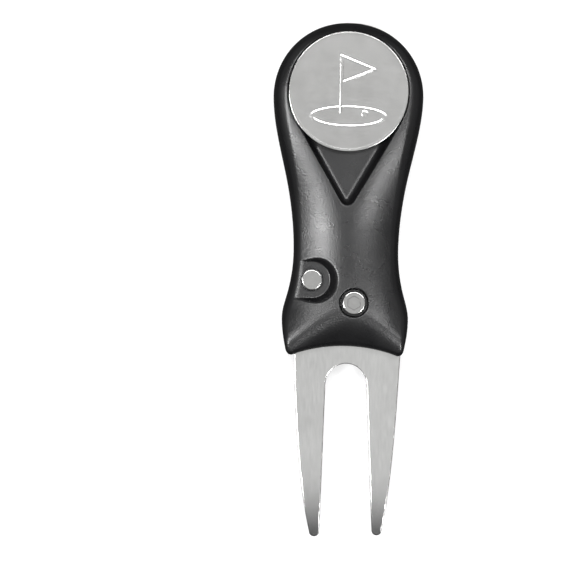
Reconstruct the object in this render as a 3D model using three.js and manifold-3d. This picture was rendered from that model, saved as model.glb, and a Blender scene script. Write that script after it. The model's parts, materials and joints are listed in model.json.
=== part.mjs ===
// Folding divot repair tool: a two-pronged steel fork that swings out of a moulded handle,
// with a spring-loaded release button and a magnetic ball marker in the head.
// Millimetres. The tool lies on its back: +Z out of the front face, +Y towards the head.

import * as THREE from 'three';
import { mergeVertices } from 'three/addons/utils/BufferGeometryUtils.js';
import Module from 'manifold-3d';

const wasm = await Module();
wasm.setup();

// ---- Driving dimensions. Until the last lines, y = 0 is the centre of the round head. ----

const headRadius = 15.65;
const toolLength = 107.75;
const caseTop = 12;
const partingZ = 5.3;
const caseEdge = { thickness: 1.5, size: 0.7, steps: 3 };

const bladeZ = { low: 4.3, high: 6.3 };
const cavityZ = { low: 4.1, high: 6.5 };
const foldedAngle = 165;
const bladeGap = 0.4;
const bladeReach = 49.8;

const pivot = { x: 1.81, y: -43.05 };
const tangRadius = 8.9;
const bush = { inner: 1.6, outer: 2.5, low: 1.95, high: 6.85 };
const screwHead = { radius: 2.4, low: 9.25, high: 10.9, socketAcrossFlats: 2.5, socketDepth: 0.9 };
const screwShank = { radius: 1.2, low: 2.2 };
const counterbore = { radius: 3.05, floor: 9.2 };
const sleeve = { radius: 1.5, bore: 1.28, high: 8.9, boreFloor: 1.6 };
const sleeveHead = { radius: 3, low: 0.2, high: 1, slotWidth: 0.8, slotDepth: 0.4 };
const frontWasher = { inner: 2.65, outer: 4.2, low: 6.4, high: 6.8 };
const backWasher = { inner: 7.5, outer: 8.8, low: 3.8, high: 4.2 };

const springPocket = { radius: 4.3, floor: 1.9 };
const torsion = { radius: 3.55, wire: 0.25, turns: 2.5, low: 2.2, high: 3.75, armLength: 3, postHigh: 5.6 };

const lockDirection = 152;
const lockRadius = 5.9;
const lockPin = { radius: 1, low: 3, high: 8.35 };
const slotHalfWidth = 1.15;
const lockPlate = { low: 7.6, high: 8.35, pinEnd: 1.5, buttonEnd: 2.5 };
const plateRoom = 0.25;
const button = { offset: 10.03, radius: 2.15, tail: 0.85, low: 8.4, high: 11.1 };
const buttonSpring = { radius: 1, wire: 0.12, turns: 4, low: 1.05, high: 2.75, boreRadius: 1.45, boreFloor: 0.8 };
const well = { floorRadius: 3.95, rimRadius: 4.95, floor: 9.9 };

const markerCentreY = 1;
const marker = { radius: 12.5, low: 9.6, high: 11.4, rim: 0.7, relief: 0.15 };
const markerPocket = { radius: 12.65, floor: 9.55 };
const notch = { floor: 9.3, halfAngle: 30, tipRadius: 1.6 };
const magnet = { radius: 5, low: 7.85, high: 9.45 };

const caseScrews = [[-6, 10.4], [7.5, 8.5], [9.7, -13.5]];
const caseScrew = { headRadius: 2, headLow: 0.35, headHigh: 1.55, shankRadius: 1.1, tip: 7.9 };
const locatingPegs = [[0.5, 12.4], [10.5, -3.5]];
const peg = { radius: 0.95, high: 6.3 };

const fine = 36;
const coarse = 20;
const looseFit = 0.1;

// ---- Small helpers ----

const radians = (degrees) => degrees * Math.PI / 180;

function polar(centre, radius, degrees) {
  const x = centre.x + radius * Math.cos(radians(degrees));
  const y = centre.y + radius * Math.sin(radians(degrees));
  return { x, y };
}

// A closed three.js geometry as a solid that can be cut and joined.
function solidOf(geometry) {
  const bare = geometry.clone();
  bare.deleteAttribute('normal');
  bare.deleteAttribute('uv');
  const merged = mergeVertices(bare, 1e-4);
  const corners = merged.index.array;
  const kept = [];
  for (let i = 0; i < corners.length; i += 3) {
    const [a, b, c] = corners.slice(i, i + 3);
    if (a !== b && b !== c && c !== a) {
      kept.push(a, b, c);
    }
  }
  return new wasm.Manifold(new wasm.Mesh({
    numProp: 3,
    vertProperties: new Float32Array(merged.attributes.position.array),
    triVerts: new Uint32Array(kept),
  }));
}

function geometryOf(solid) {
  const mesh = solid.getMesh();
  const geometry = new THREE.BufferGeometry();
  geometry.setAttribute('position', new THREE.BufferAttribute(mesh.vertProperties, 3));
  geometry.setIndex(new THREE.BufferAttribute(mesh.triVerts, 1));
  geometry.computeVertexNormals();
  return geometry;
}

// A flat outline given thickness between two heights.
function prism(shape, low, high, curveSegments = 12) {
  const options = { depth: high - low, bevelEnabled: false, curveSegments };
  return solidOf(new THREE.ExtrudeGeometry(shape, options).translate(0, 0, low));
}

// A turned solid about a vertical axis; the profile is [radius, z] pairs from axis to axis.
function turned(profile, centre, segments = fine) {
  const points = profile.map(([radius, z]) => new THREE.Vector2(radius, z));
  const geometry = new THREE.LatheGeometry(points, segments);
  geometry.rotateX(Math.PI / 2);
  geometry.translate(centre.x, centre.y, 0);
  return solidOf(geometry);
}

function rod(centre, radius, low, high, segments = fine) {
  return turned([[0, low], [radius, low], [radius, high], [0, high]], centre, segments);
}

function ring(centre, inner, outer, low, high, segments = fine) {
  return rod(centre, outer, low, high, segments).subtract(rod(centre, inner, low - 1, high + 1, segments));
}

function block(width, length, height, x, y, z) {
  return solidOf(new THREE.BoxGeometry(width, length, height).translate(x, y, z));
}

// Two circles wrapped by one tight belt, which is the shape of a plate with two round ends.
function beltShape(a, radiusA, b, radiusB) {
  const heading = Math.atan2(b.y - a.y, b.x - a.x);
  const tilt = Math.acos((radiusA - radiusB) / Math.hypot(b.x - a.x, b.y - a.y));
  const shape = new THREE.Shape();
  shape.absarc(a.x, a.y, radiusA, heading + tilt, heading - tilt + 2 * Math.PI, false);
  shape.absarc(b.x, b.y, radiusB, heading - tilt, heading + tilt, false);
  shape.closePath();
  return shape;
}

// Round wire bent along a smooth path through the given points.
function wire(points, radius, steps) {
  const section = new THREE.Shape();
  section.absarc(0, 0, radius, 0, 2 * Math.PI, false);
  const extrudePath = new THREE.CatmullRomCurve3(points);
  return new THREE.ExtrudeGeometry(section, { steps, curveSegments: 3, extrudePath });
}

function helixPoints(centre, radius, low, high, turns, startDegrees) {
  const count = Math.round(turns * 12);
  const points = [];
  for (let i = 0; i <= count; i += 1) {
    const part = i / count;
    const { x, y } = polar(centre, radius, startDegrees + 360 * turns * part);
    points.push(new THREE.Vector3(x, y, low + (high - low) * part));
  }
  return points;
}

// ---- Outlines ----

// Right-hand side of the handle from the widest point of the head down to the arch between
// the two bottom corners: each row is two control points and an end point.
const sideCurves = [
  [[15.65, -5.5], [13.75, -11.9], [12.6, -17.4]],
  [[11.56, -22.4], [10.95, -27.4], [10.95, -32.4]],
  [[10.95, -36], [11.59, -39.5], [12.5, -42.5]],
  [[12.95, -44], [13.2, -45.2], [13.2, -46.4]],
  [[13.2, -48.8], [12.75, -51], [12.35, -52.9]],
  [[12.1, -53.8], [11.6, -54.1], [11, -54.05]],
  [[7.5, -52.7], [3.5, -52.1], [0, -52.1]],
];

function handleShape() {
  const shape = new THREE.Shape();
  shape.moveTo(-headRadius, 0);
  shape.absarc(0, 0, headRadius, Math.PI, 0, true);
  for (const [[ax, ay], [bx, by], [x, y]] of sideCurves) {
    shape.bezierCurveTo(ax, ay, bx, by, x, y);
  }
  const starts = [[headRadius, 0], ...sideCurves.map((curve) => curve[2])];
  for (let i = sideCurves.length - 1; i >= 0; i -= 1) {
    const [[ax, ay], [bx, by]] = sideCurves[i];
    const [x, y] = starts[i];
    shape.bezierCurveTo(-bx, by, -ax, ay, -x, y);
  }
  return shape;
}

const leftTip = { x: -5.72, y: -91, radius: 1.1 };
const rightTip = { x: 7.35, y: -90.65, radius: 1.05 };
const leftShoulder = { x: -10.5, y: -54 };
const rightShoulder = { x: 11.75, y: -54 };
const crotch = { x: 0.48, y: -60.4, halfWidth: 4.34, height: 4.6 };

function forkShape() {
  const shape = new THREE.Shape();
  const tangRight = polar(pivot, tangRadius, -30);
  shape.moveTo(tangRight.x, tangRight.y);
  shape.absarc(pivot.x, pivot.y, tangRadius, radians(-30), radians(200), false);
  shape.bezierCurveTo(-7.6, -49.5, -10.3, -51.5, leftShoulder.x, leftShoulder.y);
  shape.bezierCurveTo(-10.1, -66, -9.2, -81, leftTip.x - leftTip.radius, leftTip.y);
  shape.absarc(leftTip.x, leftTip.y, leftTip.radius, Math.PI, 2 * Math.PI, false);
  shape.lineTo(crotch.x - crotch.halfWidth, crotch.y);
  shape.absellipse(crotch.x, crotch.y, crotch.halfWidth, crotch.height, Math.PI, 0, true);
  shape.lineTo(rightTip.x - rightTip.radius, rightTip.y);
  shape.absarc(rightTip.x, rightTip.y, rightTip.radius, Math.PI, 2 * Math.PI, false);
  shape.bezierCurveTo(10.5, -80, 11.1, -66, rightShoulder.x, rightShoulder.y);
  shape.bezierCurveTo(11.6, -51.5, 10.5, -49.5, tangRight.x, tangRight.y);
  return shape;
}

// Where a point of the open fork lies once the fork is folded into the handle.
function folded(x, y) {
  const dx = x - pivot.x;
  const dy = y - pivot.y;
  const turn = radians(-foldedAngle);
  return {
    x: pivot.x + dx * Math.cos(turn) - dy * Math.sin(turn),
    y: pivot.y + dx * Math.sin(turn) + dy * Math.cos(turn),
  };
}

// All the room the fork sweeps: the folded fork's leading edge, the arc of its tips, and
// everything open to the left and the bottom, back to the trailing edge of the open fork.
function sweepShape() {
  const leading = [
    [leftShoulder.x - bladeGap, -49.5],
    [leftShoulder.x - bladeGap, leftShoulder.y],
    [-9.45 - bladeGap, -72.6],
    [-8.3 - bladeGap, -82.6],
    [leftTip.x - leftTip.radius - bladeGap, leftTip.y],
  ];
  const hub = tangRadius + 0.3;
  const shape = new THREE.Shape();
  shape.absarc(pivot.x, pivot.y, hub, radians(-30), radians(35), false);
  for (const [x, y] of leading) {
    const point = folded(x, y);
    shape.lineTo(point.x, point.y);
  }
  shape.absarc(pivot.x, pivot.y, bladeReach, radians(94), radians(125), false);
  shape.lineTo(-40, -30);
  shape.lineTo(-40, -60);
  shape.lineTo(rightShoulder.x + bladeGap, -60);
  shape.lineTo(rightShoulder.x + bladeGap, -52);
  shape.closePath();
  return shape;
}

const pocketCentre = { x: 0, y: markerCentreY };
const lockCentre = polar(pivot, lockRadius, lockDirection);
const buttonCentre = polar(pivot, button.offset, lockDirection);
const above = caseTop + 1;
const below = -1;

// ---- Handle ----

function wholeCase() {
  const options = {
    depth: caseTop - 2 * caseEdge.thickness,
    bevelThickness: caseEdge.thickness,
    bevelSize: caseEdge.size,
    bevelOffset: -caseEdge.size,
    bevelSegments: caseEdge.steps,
    curveSegments: 7,
  };
  const geometry = new THREE.ExtrudeGeometry(handleShape(), options);
  return solidOf(geometry.translate(0, 0, caseEdge.thickness));
}

// Thumb notch below the marker: two flats tangent to the marker pocket that meet in a round tip.
function notchShape() {
  const sine = Math.sin(radians(notch.halfAngle));
  const tipY = markerCentreY - (markerPocket.radius - notch.tipRadius) / sine;
  return beltShape(pocketCentre, markerPocket.radius, { x: 0, y: tipY }, notch.tipRadius);
}

function frontShell() {
  let shell = wholeCase().intersect(block(40, 80, 20, 0, -20, partingZ + 10));
  const notchOnly = prism(notchShape(), notch.floor, above, 16)
    .intersect(block(40, 40, 20, 0, markerCentreY - 6.3 - 20, notch.floor + 10));
  const wellProfile = [[0, well.floor], [well.floorRadius, well.floor], [well.rimRadius, above], [0, above]];
  const plateShape = beltShape(buttonCentre, lockPlate.buttonEnd + plateRoom, lockCentre,
    lockPlate.pinEnd + plateRoom);
  const cuts = [
    prism(sweepShape(), partingZ - 1, cavityZ.high, coarse),
    rod(pocketCentre, markerPocket.radius, markerPocket.floor, above, 60),
    notchOnly,
    rod(pocketCentre, magnet.radius + looseFit, magnet.low - looseFit, above),
    turned(wellProfile, buttonCentre),
    rod(buttonCentre, button.radius + looseFit, cavityZ.high, above),
    prism(plateShape, partingZ, lockPlate.high + looseFit),
    rod(pivot, counterbore.radius, counterbore.floor, above),
    rod(pivot, sleeve.radius + looseFit, partingZ, above, coarse),
    rod(pivot, frontWasher.outer + looseFit, partingZ, frontWasher.high + looseFit),
  ];
  for (const [x, y] of caseScrews) {
    cuts.push(rod({ x, y }, caseScrew.shankRadius + looseFit / 2, partingZ - 1, caseScrew.tip + 0.3, coarse));
  }
  for (const [x, y] of locatingPegs) {
    cuts.push(rod({ x, y }, peg.radius + looseFit, partingZ - 1, peg.high + 0.2, coarse));
  }
  for (const cut of cuts) {
    shell = shell.subtract(cut);
  }
  return shell;
}

function backShell() {
  const lower = partingZ - 0.02;
  let shell = wholeCase().intersect(block(40, 80, 20, 0, -20, lower - 10));
  const arm = polar(pivot, torsion.radius + torsion.armLength / 2 + 0.2, torsionStart);
  const groove = solidOf(new THREE.BoxGeometry(torsion.armLength + 1, 0.9, 3)
    .rotateZ(radians(torsionStart)).translate(arm.x, arm.y, springPocket.floor + 1.5));
  const cuts = [
    prism(sweepShape(), cavityZ.low, partingZ + 1, coarse),
    rod(pivot, springPocket.radius, springPocket.floor, partingZ),
    groove,
    rod(pivot, sleeve.radius + looseFit, below, partingZ, coarse),
    rod(pivot, sleeveHead.radius + looseFit, below, sleeveHead.high + 0.05),
    ring(pivot, backWasher.inner - looseFit, backWasher.outer + looseFit, backWasher.low - 0.05, partingZ),
    rod(lockCentre, buttonSpring.boreRadius, buttonSpring.boreFloor, partingZ, coarse),
  ];
  for (const [x, y] of caseScrews) {
    cuts.push(rod({ x, y }, caseScrew.headRadius + looseFit, below, caseScrew.headHigh + 0.05, coarse));
    cuts.push(rod({ x, y }, caseScrew.shankRadius + looseFit, below, partingZ + 1, coarse));
  }
  for (const cut of cuts) {
    shell = shell.subtract(cut);
  }
  for (const [x, y] of locatingPegs) {
    shell = shell.add(rod({ x, y }, peg.radius, partingZ - 1, peg.high, coarse));
  }
  return shell;
}

// Machine-cut case screw entered from the back, with a cross recess in its head.
function caseFastener(x, y) {
  const profile = [
    [0, caseScrew.headLow],
    [caseScrew.headRadius - 0.3, caseScrew.headLow],
    [caseScrew.headRadius, caseScrew.headLow + 0.3],
    [caseScrew.headRadius, caseScrew.headHigh],
    [caseScrew.shankRadius, caseScrew.headHigh],
    [caseScrew.shankRadius, caseScrew.tip - 0.5],
    [0.6, caseScrew.tip],
    [0, caseScrew.tip],
  ];
  const recess = block(2.4, 0.5, 1, x, y, caseScrew.headLow)
    .add(block(0.5, 2.4, 1, x, y, caseScrew.headLow));
  return turned(profile, { x, y }, coarse).subtract(recess);
}

// ---- Fork and pivot ----

// The curved slot in the tang runs round the lock pin, whose two ends stop the fork.
function lockSlotShape() {
  const end = lockDirection + foldedAngle;
  const shape = new THREE.Shape();
  const start = polar(pivot, lockRadius, lockDirection);
  const finish = polar(pivot, lockRadius, end);
  const outer = lockRadius + slotHalfWidth;
  const inner = lockRadius - slotHalfWidth;
  shape.absarc(pivot.x, pivot.y, outer, radians(lockDirection), radians(end), false);
  shape.absarc(finish.x, finish.y, slotHalfWidth, radians(end), radians(end + 180), false);
  shape.absarc(pivot.x, pivot.y, inner, radians(end), radians(lockDirection), true);
  shape.absarc(start.x, start.y, slotHalfWidth, radians(lockDirection + 180), radians(lockDirection + 360), false);
  shape.closePath();
  return shape;
}

const torsionStart = 300;
const torsionEnd = torsionStart + 360 * torsion.turns;

function fork() {
  const post = polar(pivot, torsion.radius, torsionEnd);
  return prism(forkShape(), bladeZ.low, bladeZ.high, 14)
    .subtract(rod(pivot, bush.outer + 0.06, below, above))
    .subtract(prism(lockSlotShape(), below, above, 16))
    .subtract(rod(post, torsion.wire + 0.2, below, above, 12));
}

function pivotScrew() {
  const { radius, low, high, socketAcrossFlats, socketDepth } = screwHead;
  const profile = [
    [0, screwShank.low],
    [screwShank.radius, screwShank.low],
    [screwShank.radius, low],
    [radius, low],
    [radius, high - 0.25],
    [radius - 0.25, high],
    [0, high],
  ];
  const socketRadius = socketAcrossFlats / 2 / Math.cos(radians(30));
  return turned(profile, pivot, coarse).subtract(rod(pivot, socketRadius, high - socketDepth, above, 6));
}

function pivotSleeve() {
  const profile = [
    [0, sleeveHead.low],
    [sleeveHead.radius, sleeveHead.low],
    [sleeveHead.radius, sleeveHead.high],
    [sleeve.radius, sleeveHead.high],
    [sleeve.radius, sleeve.high],
    [0, sleeve.high],
  ];
  const slotZ = sleeveHead.low + sleeveHead.slotDepth - 1;
  return turned(profile, pivot, coarse)
    .subtract(rod(pivot, sleeve.bore, sleeve.boreFloor, above, coarse))
    .subtract(block(8, sleeveHead.slotWidth, 2, pivot.x, pivot.y, slotZ));
}

// Coil round the bush: one arm lies in the back shell and the other stands up into the fork.
function torsionSpringWire() {
  const arm = polar(pivot, torsion.radius + torsion.armLength, torsionStart);
  const post = polar(pivot, torsion.radius, torsionEnd);
  const points = [
    new THREE.Vector3(arm.x, arm.y, torsion.low),
    ...helixPoints(pivot, torsion.radius, torsion.low, torsion.high, torsion.turns, torsionStart),
    new THREE.Vector3(post.x, post.y, torsion.high + 0.8),
    new THREE.Vector3(post.x, post.y, torsion.postHigh),
  ];
  return wire(points, torsion.wire, 60);
}

// ---- Release button ----

function releaseButton() {
  const profile = [
    [0, lockPlate.low],
    [button.tail, lockPlate.low],
    [button.tail, button.low],
    [button.radius, button.low],
    [button.radius, button.high - 0.3],
    [button.radius - 0.3, button.high],
    [0, button.high],
  ];
  return turned(profile, buttonCentre);
}

function lockPlateSolid() {
  const shape = beltShape(buttonCentre, lockPlate.buttonEnd, lockCentre, lockPlate.pinEnd);
  return prism(shape, lockPlate.low, lockPlate.high, 16)
    .subtract(rod(buttonCentre, button.tail + 0.08, below, above, coarse))
    .subtract(rod(lockCentre, lockPin.radius + 0.06, below, above, coarse));
}

function buttonSpringWire() {
  const { radius, low, high, turns } = buttonSpring;
  return wire(helixPoints(lockCentre, radius, low, high, turns, 0), buttonSpring.wire, 48);
}

// ---- Ball marker ----

function ballMarker() {
  const { radius, low, high, rim, relief } = marker;
  const profile = [
    [0, low],
    [radius - 0.3, low],
    [radius, low + 0.3],
    [radius, high - 0.3],
    [radius - 0.3, high],
    [radius - rim, high],
    [radius - rim - relief, high - relief],
    [0, high - relief],
  ];
  return turned(profile, pocketCentre, 60);
}

// ---- Assembly ----

const finishes = {
  case: { color: 0x1d1d1f, roughness: 0.55, metalness: 0 },
  blade: { color: 0xc9c9c7, roughness: 0.35, metalness: 1 },
  bright: { color: 0xd2d2d0, roughness: 0.2, metalness: 1 },
  spring: { color: 0x8f9093, roughness: 0.3, metalness: 1 },
  nylon: { color: 0xe6e3da, roughness: 0.6, metalness: 0 },
  brass: { color: 0xc9a24f, roughness: 0.35, metalness: 1 },
};

const group = new THREE.Group();

function place(name, geometry, finish) {
  const mesh = new THREE.Mesh(geometry, new THREE.MeshStandardMaterial(finishes[finish]));
  mesh.name = name;
  group.add(mesh);
}

place('front_shell', geometryOf(frontShell()), 'case');
place('back_shell', geometryOf(backShell()), 'case');
place('fork', geometryOf(fork()), 'blade');
place('pivot_screw', geometryOf(pivotScrew()), 'bright');
place('pivot_sleeve', geometryOf(pivotSleeve()), 'bright');
place('pivot_bush', geometryOf(ring(pivot, bush.inner, bush.outer, bush.low, bush.high)), 'brass');
place('front_washer',
  geometryOf(ring(pivot, frontWasher.inner, frontWasher.outer, frontWasher.low, frontWasher.high)), 'nylon');
place('back_washer',
  geometryOf(ring(pivot, backWasher.inner, backWasher.outer, backWasher.low, backWasher.high)), 'nylon');
place('torsion_spring', torsionSpringWire(), 'spring');
place('release_button', geometryOf(releaseButton()), 'bright');
place('lock_plate', geometryOf(lockPlateSolid()), 'spring');
place('lock_pin', geometryOf(rod(lockCentre, lockPin.radius, lockPin.low, lockPin.high, coarse)), 'spring');
place('button_spring', buttonSpringWire(), 'spring');
place('ball_marker', geometryOf(ballMarker()), 'bright');
place('marker_magnet', geometryOf(rod(pocketCentre, magnet.radius, magnet.low, magnet.high)), 'bright');
caseScrews.forEach(([x, y], i) => {
  place(`case_screw_${i + 1}`, geometryOf(caseFastener(x, y)), 'spring');
});

// The origin is the middle of the tool's length and width, on the plane it lies on.
group.position.y = toolLength / 2 - headRadius;

export default group;
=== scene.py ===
"""Looks of the folding divot repair tool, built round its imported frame."""
import json
import math

import bpy
import numpy as np
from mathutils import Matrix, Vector


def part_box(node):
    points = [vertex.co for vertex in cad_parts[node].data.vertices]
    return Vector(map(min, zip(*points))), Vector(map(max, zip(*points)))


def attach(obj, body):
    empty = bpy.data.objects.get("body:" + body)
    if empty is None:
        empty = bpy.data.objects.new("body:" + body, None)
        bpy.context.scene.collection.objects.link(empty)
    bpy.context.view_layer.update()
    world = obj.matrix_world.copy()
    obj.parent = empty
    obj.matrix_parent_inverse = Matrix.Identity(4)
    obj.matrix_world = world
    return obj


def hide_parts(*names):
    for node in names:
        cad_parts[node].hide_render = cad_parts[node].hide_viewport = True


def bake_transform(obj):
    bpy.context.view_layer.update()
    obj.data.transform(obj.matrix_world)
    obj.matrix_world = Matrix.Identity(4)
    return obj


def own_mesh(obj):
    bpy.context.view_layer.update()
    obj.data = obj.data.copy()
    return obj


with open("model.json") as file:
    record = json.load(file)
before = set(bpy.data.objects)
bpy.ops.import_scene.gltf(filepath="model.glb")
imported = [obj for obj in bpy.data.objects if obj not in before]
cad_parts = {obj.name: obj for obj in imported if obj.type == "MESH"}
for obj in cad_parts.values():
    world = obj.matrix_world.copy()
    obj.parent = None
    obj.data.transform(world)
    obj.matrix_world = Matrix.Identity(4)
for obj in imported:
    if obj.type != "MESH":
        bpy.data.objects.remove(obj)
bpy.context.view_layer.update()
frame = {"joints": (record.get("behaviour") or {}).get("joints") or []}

# ---- Places and sizes in millimetres. Pieces are made with y = 0 at the centre of the round
# ---- head, and moved to the row frame as they are turned into Blender meshes.

MM = 0.001
HEAD_RADIUS = 15.65
HEAD_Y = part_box("front_shell")[1].y / MM - HEAD_RADIUS


def middle(node):
    """Centre of a CAD node's box, seen from the front."""
    low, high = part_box(node)
    return (low.x + high.x) / 2 / MM, (low.y + high.y) / 2 / MM - HEAD_Y


def heights(node):
    """Bottom and top of a CAD piece, in millimetres."""
    low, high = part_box(node)
    return low.z / MM, high.z / MM


JOINTS = {joint["name"]: joint for joint in frame["joints"]}
PIVOT = middle("pivot_screw")
BUTTON = middle("release_button")
LOCK = middle("lock_pin")
MARKER = (0.0, middle("ball_marker")[1])
FOLDED_ANGLE = JOINTS["fork_swing"]["range_deg"][1]

ABOVE = 20
BELOW = -2
PARTING = 5.3
SEAM = 0.03
CAVITY = (4.1, 6.5)
BACK_EDGE_RADIUS = 1.5
POCKET_RADIUS = 12.65
POCKET_FLOOR = 9.55
NOTCH_FLOOR = 9.3
NOTCH_HALF_ANGLE = math.radians(30)
NOTCH_TIP_RADIUS = 1.6
NOTCH_DEPTH = 2.4
NOTCH_DRAFT = 0.3
NOTCH_LEAN = 0.12
NOTCH_FOOT_RADIUS = 1.1
NOTCH_START = 6.3
WELL_FLOOR = 9.5
WELL_RADIUS = 3.85
WELL_SPREAD = 0.75
WELL_LEAN = 0.15
WELL_DEPTH = 2.2
COUNTERBORE = (3.0, 9.2)
MAGNET_BORE = (5.1, 7.75)
BUTTON_BORE = 2.25
PLATE_ROOM = (2.75, 1.75)
SLEEVE_BORE = 1.6
NUT_RECESS = (3.1, 1.05)
SPRING_POCKET = 4.3
SPRING_POCKET_FLOOR = 1.9
FRONT_WASHER_ROOF = 6.9
BUTTON_SPRING_BORE = (1.45, 0.8)
WINDOW_EDGE = 8.5
WINDOW_Y = -28.9
WINDOW_HALF_LENGTH = 3.6
TORSION_RADIUS = 3.55
TORSION_WIRE = 0.25
TORSION_TURNS = 2.5
TORSION_START = 300
TORSION_HEIGHTS = (2.2, 3.75)
TORSION_POST_HOLE = 0.45
BUTTON_COIL_HEIGHTS = (1.05, 2.75)
BUTTON_WIRE = 0.12
TANG_RADIUS = 8.9
BLADE_REACH = 49.8
BLADE_GAP = 0.4
LOCK_RADIUS = math.hypot(LOCK[0] - PIVOT[0], LOCK[1] - PIVOT[1])
LOCK_DIRECTION = math.degrees(math.atan2(LOCK[1] - PIVOT[1], LOCK[0] - PIVOT[0]))

# ---- Outlines ----

SIDE_CURVES = [
    [(15.65, -5.5), (13.75, -11.9), (12.6, -17.4)],
    [(11.56, -22.4), (10.95, -27.4), (10.95, -32.4)],
    [(10.95, -36.0), (11.59, -39.5), (12.5, -42.5)],
    [(12.95, -44.0), (13.2, -45.2), (13.2, -46.4)],
    [(13.2, -48.8), (12.75, -51.0), (12.35, -52.9)],
    [(12.1, -53.8), (11.6, -54.1), (11.0, -54.05)],
    [(7.5, -52.7), (3.5, -52.1), (0.0, -52.1)],
]
LEFT_TIP = (-5.72, -91.0, 1.1)
RIGHT_TIP = (7.35, -90.65, 1.05)
LEFT_SHOULDER = (-10.5, -54.0)
RIGHT_SHOULDER = (11.75, -54.0)
CROTCH = (0.48, -60.4, 4.34, 4.6)


def arc(centre, radius, start, end, count, radius_y=None):
    """Points round a circle or an ellipse, both ends included, angles in degrees."""
    angles = np.radians(np.linspace(start, end, count))
    tall = radius if radius_y is None else radius_y
    return np.column_stack([centre[0] + radius * np.cos(angles), centre[1] + tall * np.sin(angles)])


def bezier(start, control_a, control_b, end, count):
    """Points along a cubic curve, both ends included."""
    t = np.linspace(0, 1, count)[:, None]
    points = [np.array(p, float) for p in (start, control_a, control_b, end)]
    weights = [(1 - t) ** 3, 3 * t * (1 - t) ** 2, 3 * t ** 2 * (1 - t), t ** 3]
    return sum(weight * point for weight, point in zip(weights, points))


def handle_outline():
    """The right side's curves and their mirror image."""
    right = [arc((0, 0), HEAD_RADIUS, 90, 0, 90)]
    start = (HEAD_RADIUS, 0.0)
    for control_a, control_b, end in SIDE_CURVES:
        right.append(bezier(start, control_a, control_b, end, 30))
        start = end
    half = np.vstack(right)
    return np.vstack([half, (half * [-1, 1])[::-1]])


def fork_outline():
    """The round tang, both shoulders and prongs, and the rounded gap between the prongs."""
    tang_right = arc(PIVOT, TANG_RADIUS, -30, -30, 1)[0]
    tang = arc(PIVOT, TANG_RADIUS, -30, 200, 120)
    left_side = (LEFT_TIP[0] - LEFT_TIP[2], LEFT_TIP[1])
    right_side = (RIGHT_TIP[0] + RIGHT_TIP[2], RIGHT_TIP[1])
    return np.vstack([
        tang,
        bezier(tang[-1], (-7.6, -49.5), (-10.3, -51.5), LEFT_SHOULDER, 20),
        bezier(LEFT_SHOULDER, (-10.1, -66), (-9.2, -81), left_side, 80),
        arc(LEFT_TIP[:2], LEFT_TIP[2], 180, 360, 30),
        arc(CROTCH[:2], CROTCH[2], 180, 0, 50, CROTCH[3]),
        arc(RIGHT_TIP[:2], RIGHT_TIP[2], 180, 360, 30),
        bezier(right_side, (10.5, -80), (11.1, -66), RIGHT_SHOULDER, 80),
        bezier(RIGHT_SHOULDER, (11.6, -51.5), (10.5, -49.5), tang_right, 20),
    ])


def folded(x, y):
    """Where a point of the open fork lies once the fork is folded."""
    dx = x - PIVOT[0]
    dy = y - PIVOT[1]
    turn = math.radians(-FOLDED_ANGLE)
    across = PIVOT[0] + dx * math.cos(turn) - dy * math.sin(turn)
    along = PIVOT[1] + dx * math.sin(turn) + dy * math.cos(turn)
    return across, along


def sweep_outline():
    """Room for the swinging fork: its folded leading edge, the arc of its tips, and the rest open."""
    leading = [
        (LEFT_SHOULDER[0] - BLADE_GAP, -49.5),
        (LEFT_SHOULDER[0] - BLADE_GAP, LEFT_SHOULDER[1]),
        (-9.45 - BLADE_GAP, -72.6),
        (-8.3 - BLADE_GAP, -82.6),
        (LEFT_TIP[0] - LEFT_TIP[2] - BLADE_GAP, LEFT_TIP[1]),
    ]
    return np.vstack([
        arc(PIVOT, TANG_RADIUS + 0.3, -30, 35, 40),
        np.array([folded(x, y) for x, y in leading]),
        arc(PIVOT, BLADE_REACH, 94, 125, 60),
        [(-40, -30), (-40, -60)],
        [(RIGHT_SHOULDER[0] + BLADE_GAP, -60), (RIGHT_SHOULDER[0] + BLADE_GAP, -52)],
    ])


# ---- Distances. A field is below 0 inside the solid. ----

def polygon_distance(points, x, y):
    """Signed distance to a closed outline, below 0 inside it."""
    start = points
    end = np.roll(points, -1, axis=0)
    keep = np.hypot(*(end - start).T) > 1e-7
    ax, ay = start[keep].T
    dx, dy = (end - start)[keep].T
    flat_x, flat_y = x.ravel(), y.ravel()
    result = np.empty(len(flat_x))
    for first in range(0, len(flat_x), 4000):
        px = flat_x[first:first + 4000, None] - ax
        py = flat_y[first:first + 4000, None] - ay
        t = np.clip((px * dx + py * dy) / (dx * dx + dy * dy), 0, 1)
        near = np.sqrt(((px - t * dx) ** 2 + (py - t * dy) ** 2).min(axis=1))
        crosses = (py >= 0) != (py - dy >= 0)
        safe_dy = np.where(dy == 0, 1, dy)
        left = px < dx * py / safe_dy
        inside = (crosses & left).sum(axis=1) % 2 == 1
        result[first:first + 4000] = np.where(inside, -near, near)
    return result.reshape(x.shape)


class Plane:
    """An outline's distance, sampled on a flat grid and read between samples with cubics."""

    def __init__(self, points, low, high, step):
        self.low = low
        self.step = step
        xs = np.arange(low[0], high[0] + step, step)
        ys = np.arange(low[1], high[1] + step, step)
        self.values = polygon_distance(points, *np.meshgrid(xs, ys, indexing="ij"))

    def at(self, x, y):
        x, y = np.broadcast_arrays(x, y)
        u = (x - self.low[0]) / self.step
        v = (y - self.low[1]) / self.step
        i = np.clip(np.floor(u).astype(int), 1, self.values.shape[0] - 3)
        j = np.clip(np.floor(v).astype(int), 1, self.values.shape[1] - 3)
        across = cubic_weights(u - i)
        along = cubic_weights(v - j)
        total = 0
        for a in range(4):
            row = sum(along[b] * self.values[i + a - 1, j + b - 1] for b in range(4))
            total = total + across[a] * row
        return total


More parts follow.
